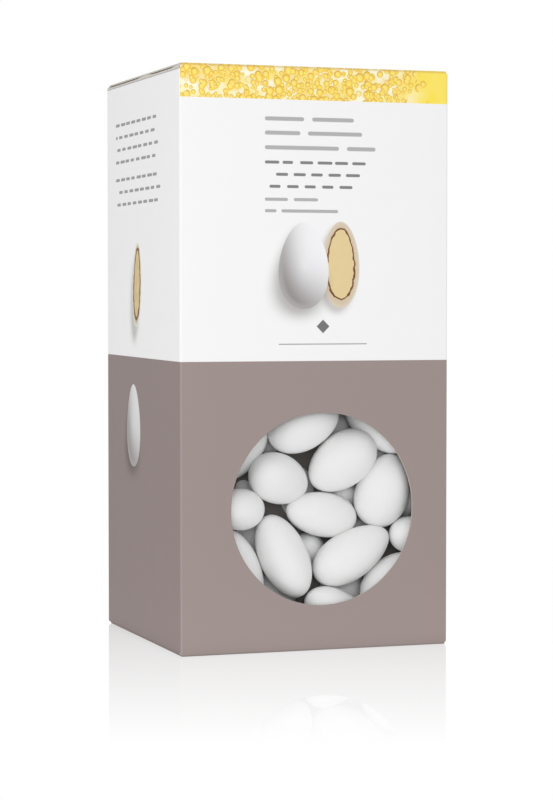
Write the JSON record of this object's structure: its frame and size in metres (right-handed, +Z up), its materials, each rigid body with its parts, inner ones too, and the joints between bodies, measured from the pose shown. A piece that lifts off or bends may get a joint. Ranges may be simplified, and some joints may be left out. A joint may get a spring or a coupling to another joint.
{
  "type": "window carton of sugared chocolate almonds",
  "caption": "Tall shut board carton with a round film window low on its front, showing the white sugar-coated chocolate almonds that fill it.",
  "frame": {"origin": "middle of the base, on the surface that the carton stands on", "axes": "-Y out of the front panel with the window, +X to the right seen from the front, +Z up"},
  "size_m": [0.1, 0.095, 0.205],
  "materials": {
    "carton_board": "satin",
    "clear_film": "gloss",
    "sugar_coating": "satin"
  },
  "bodies": {
    "root": {"carton": "carton_board", "window_film": "clear_film", "sugared_almonds": "sugar_coating"}
  },
  "joints": []
}
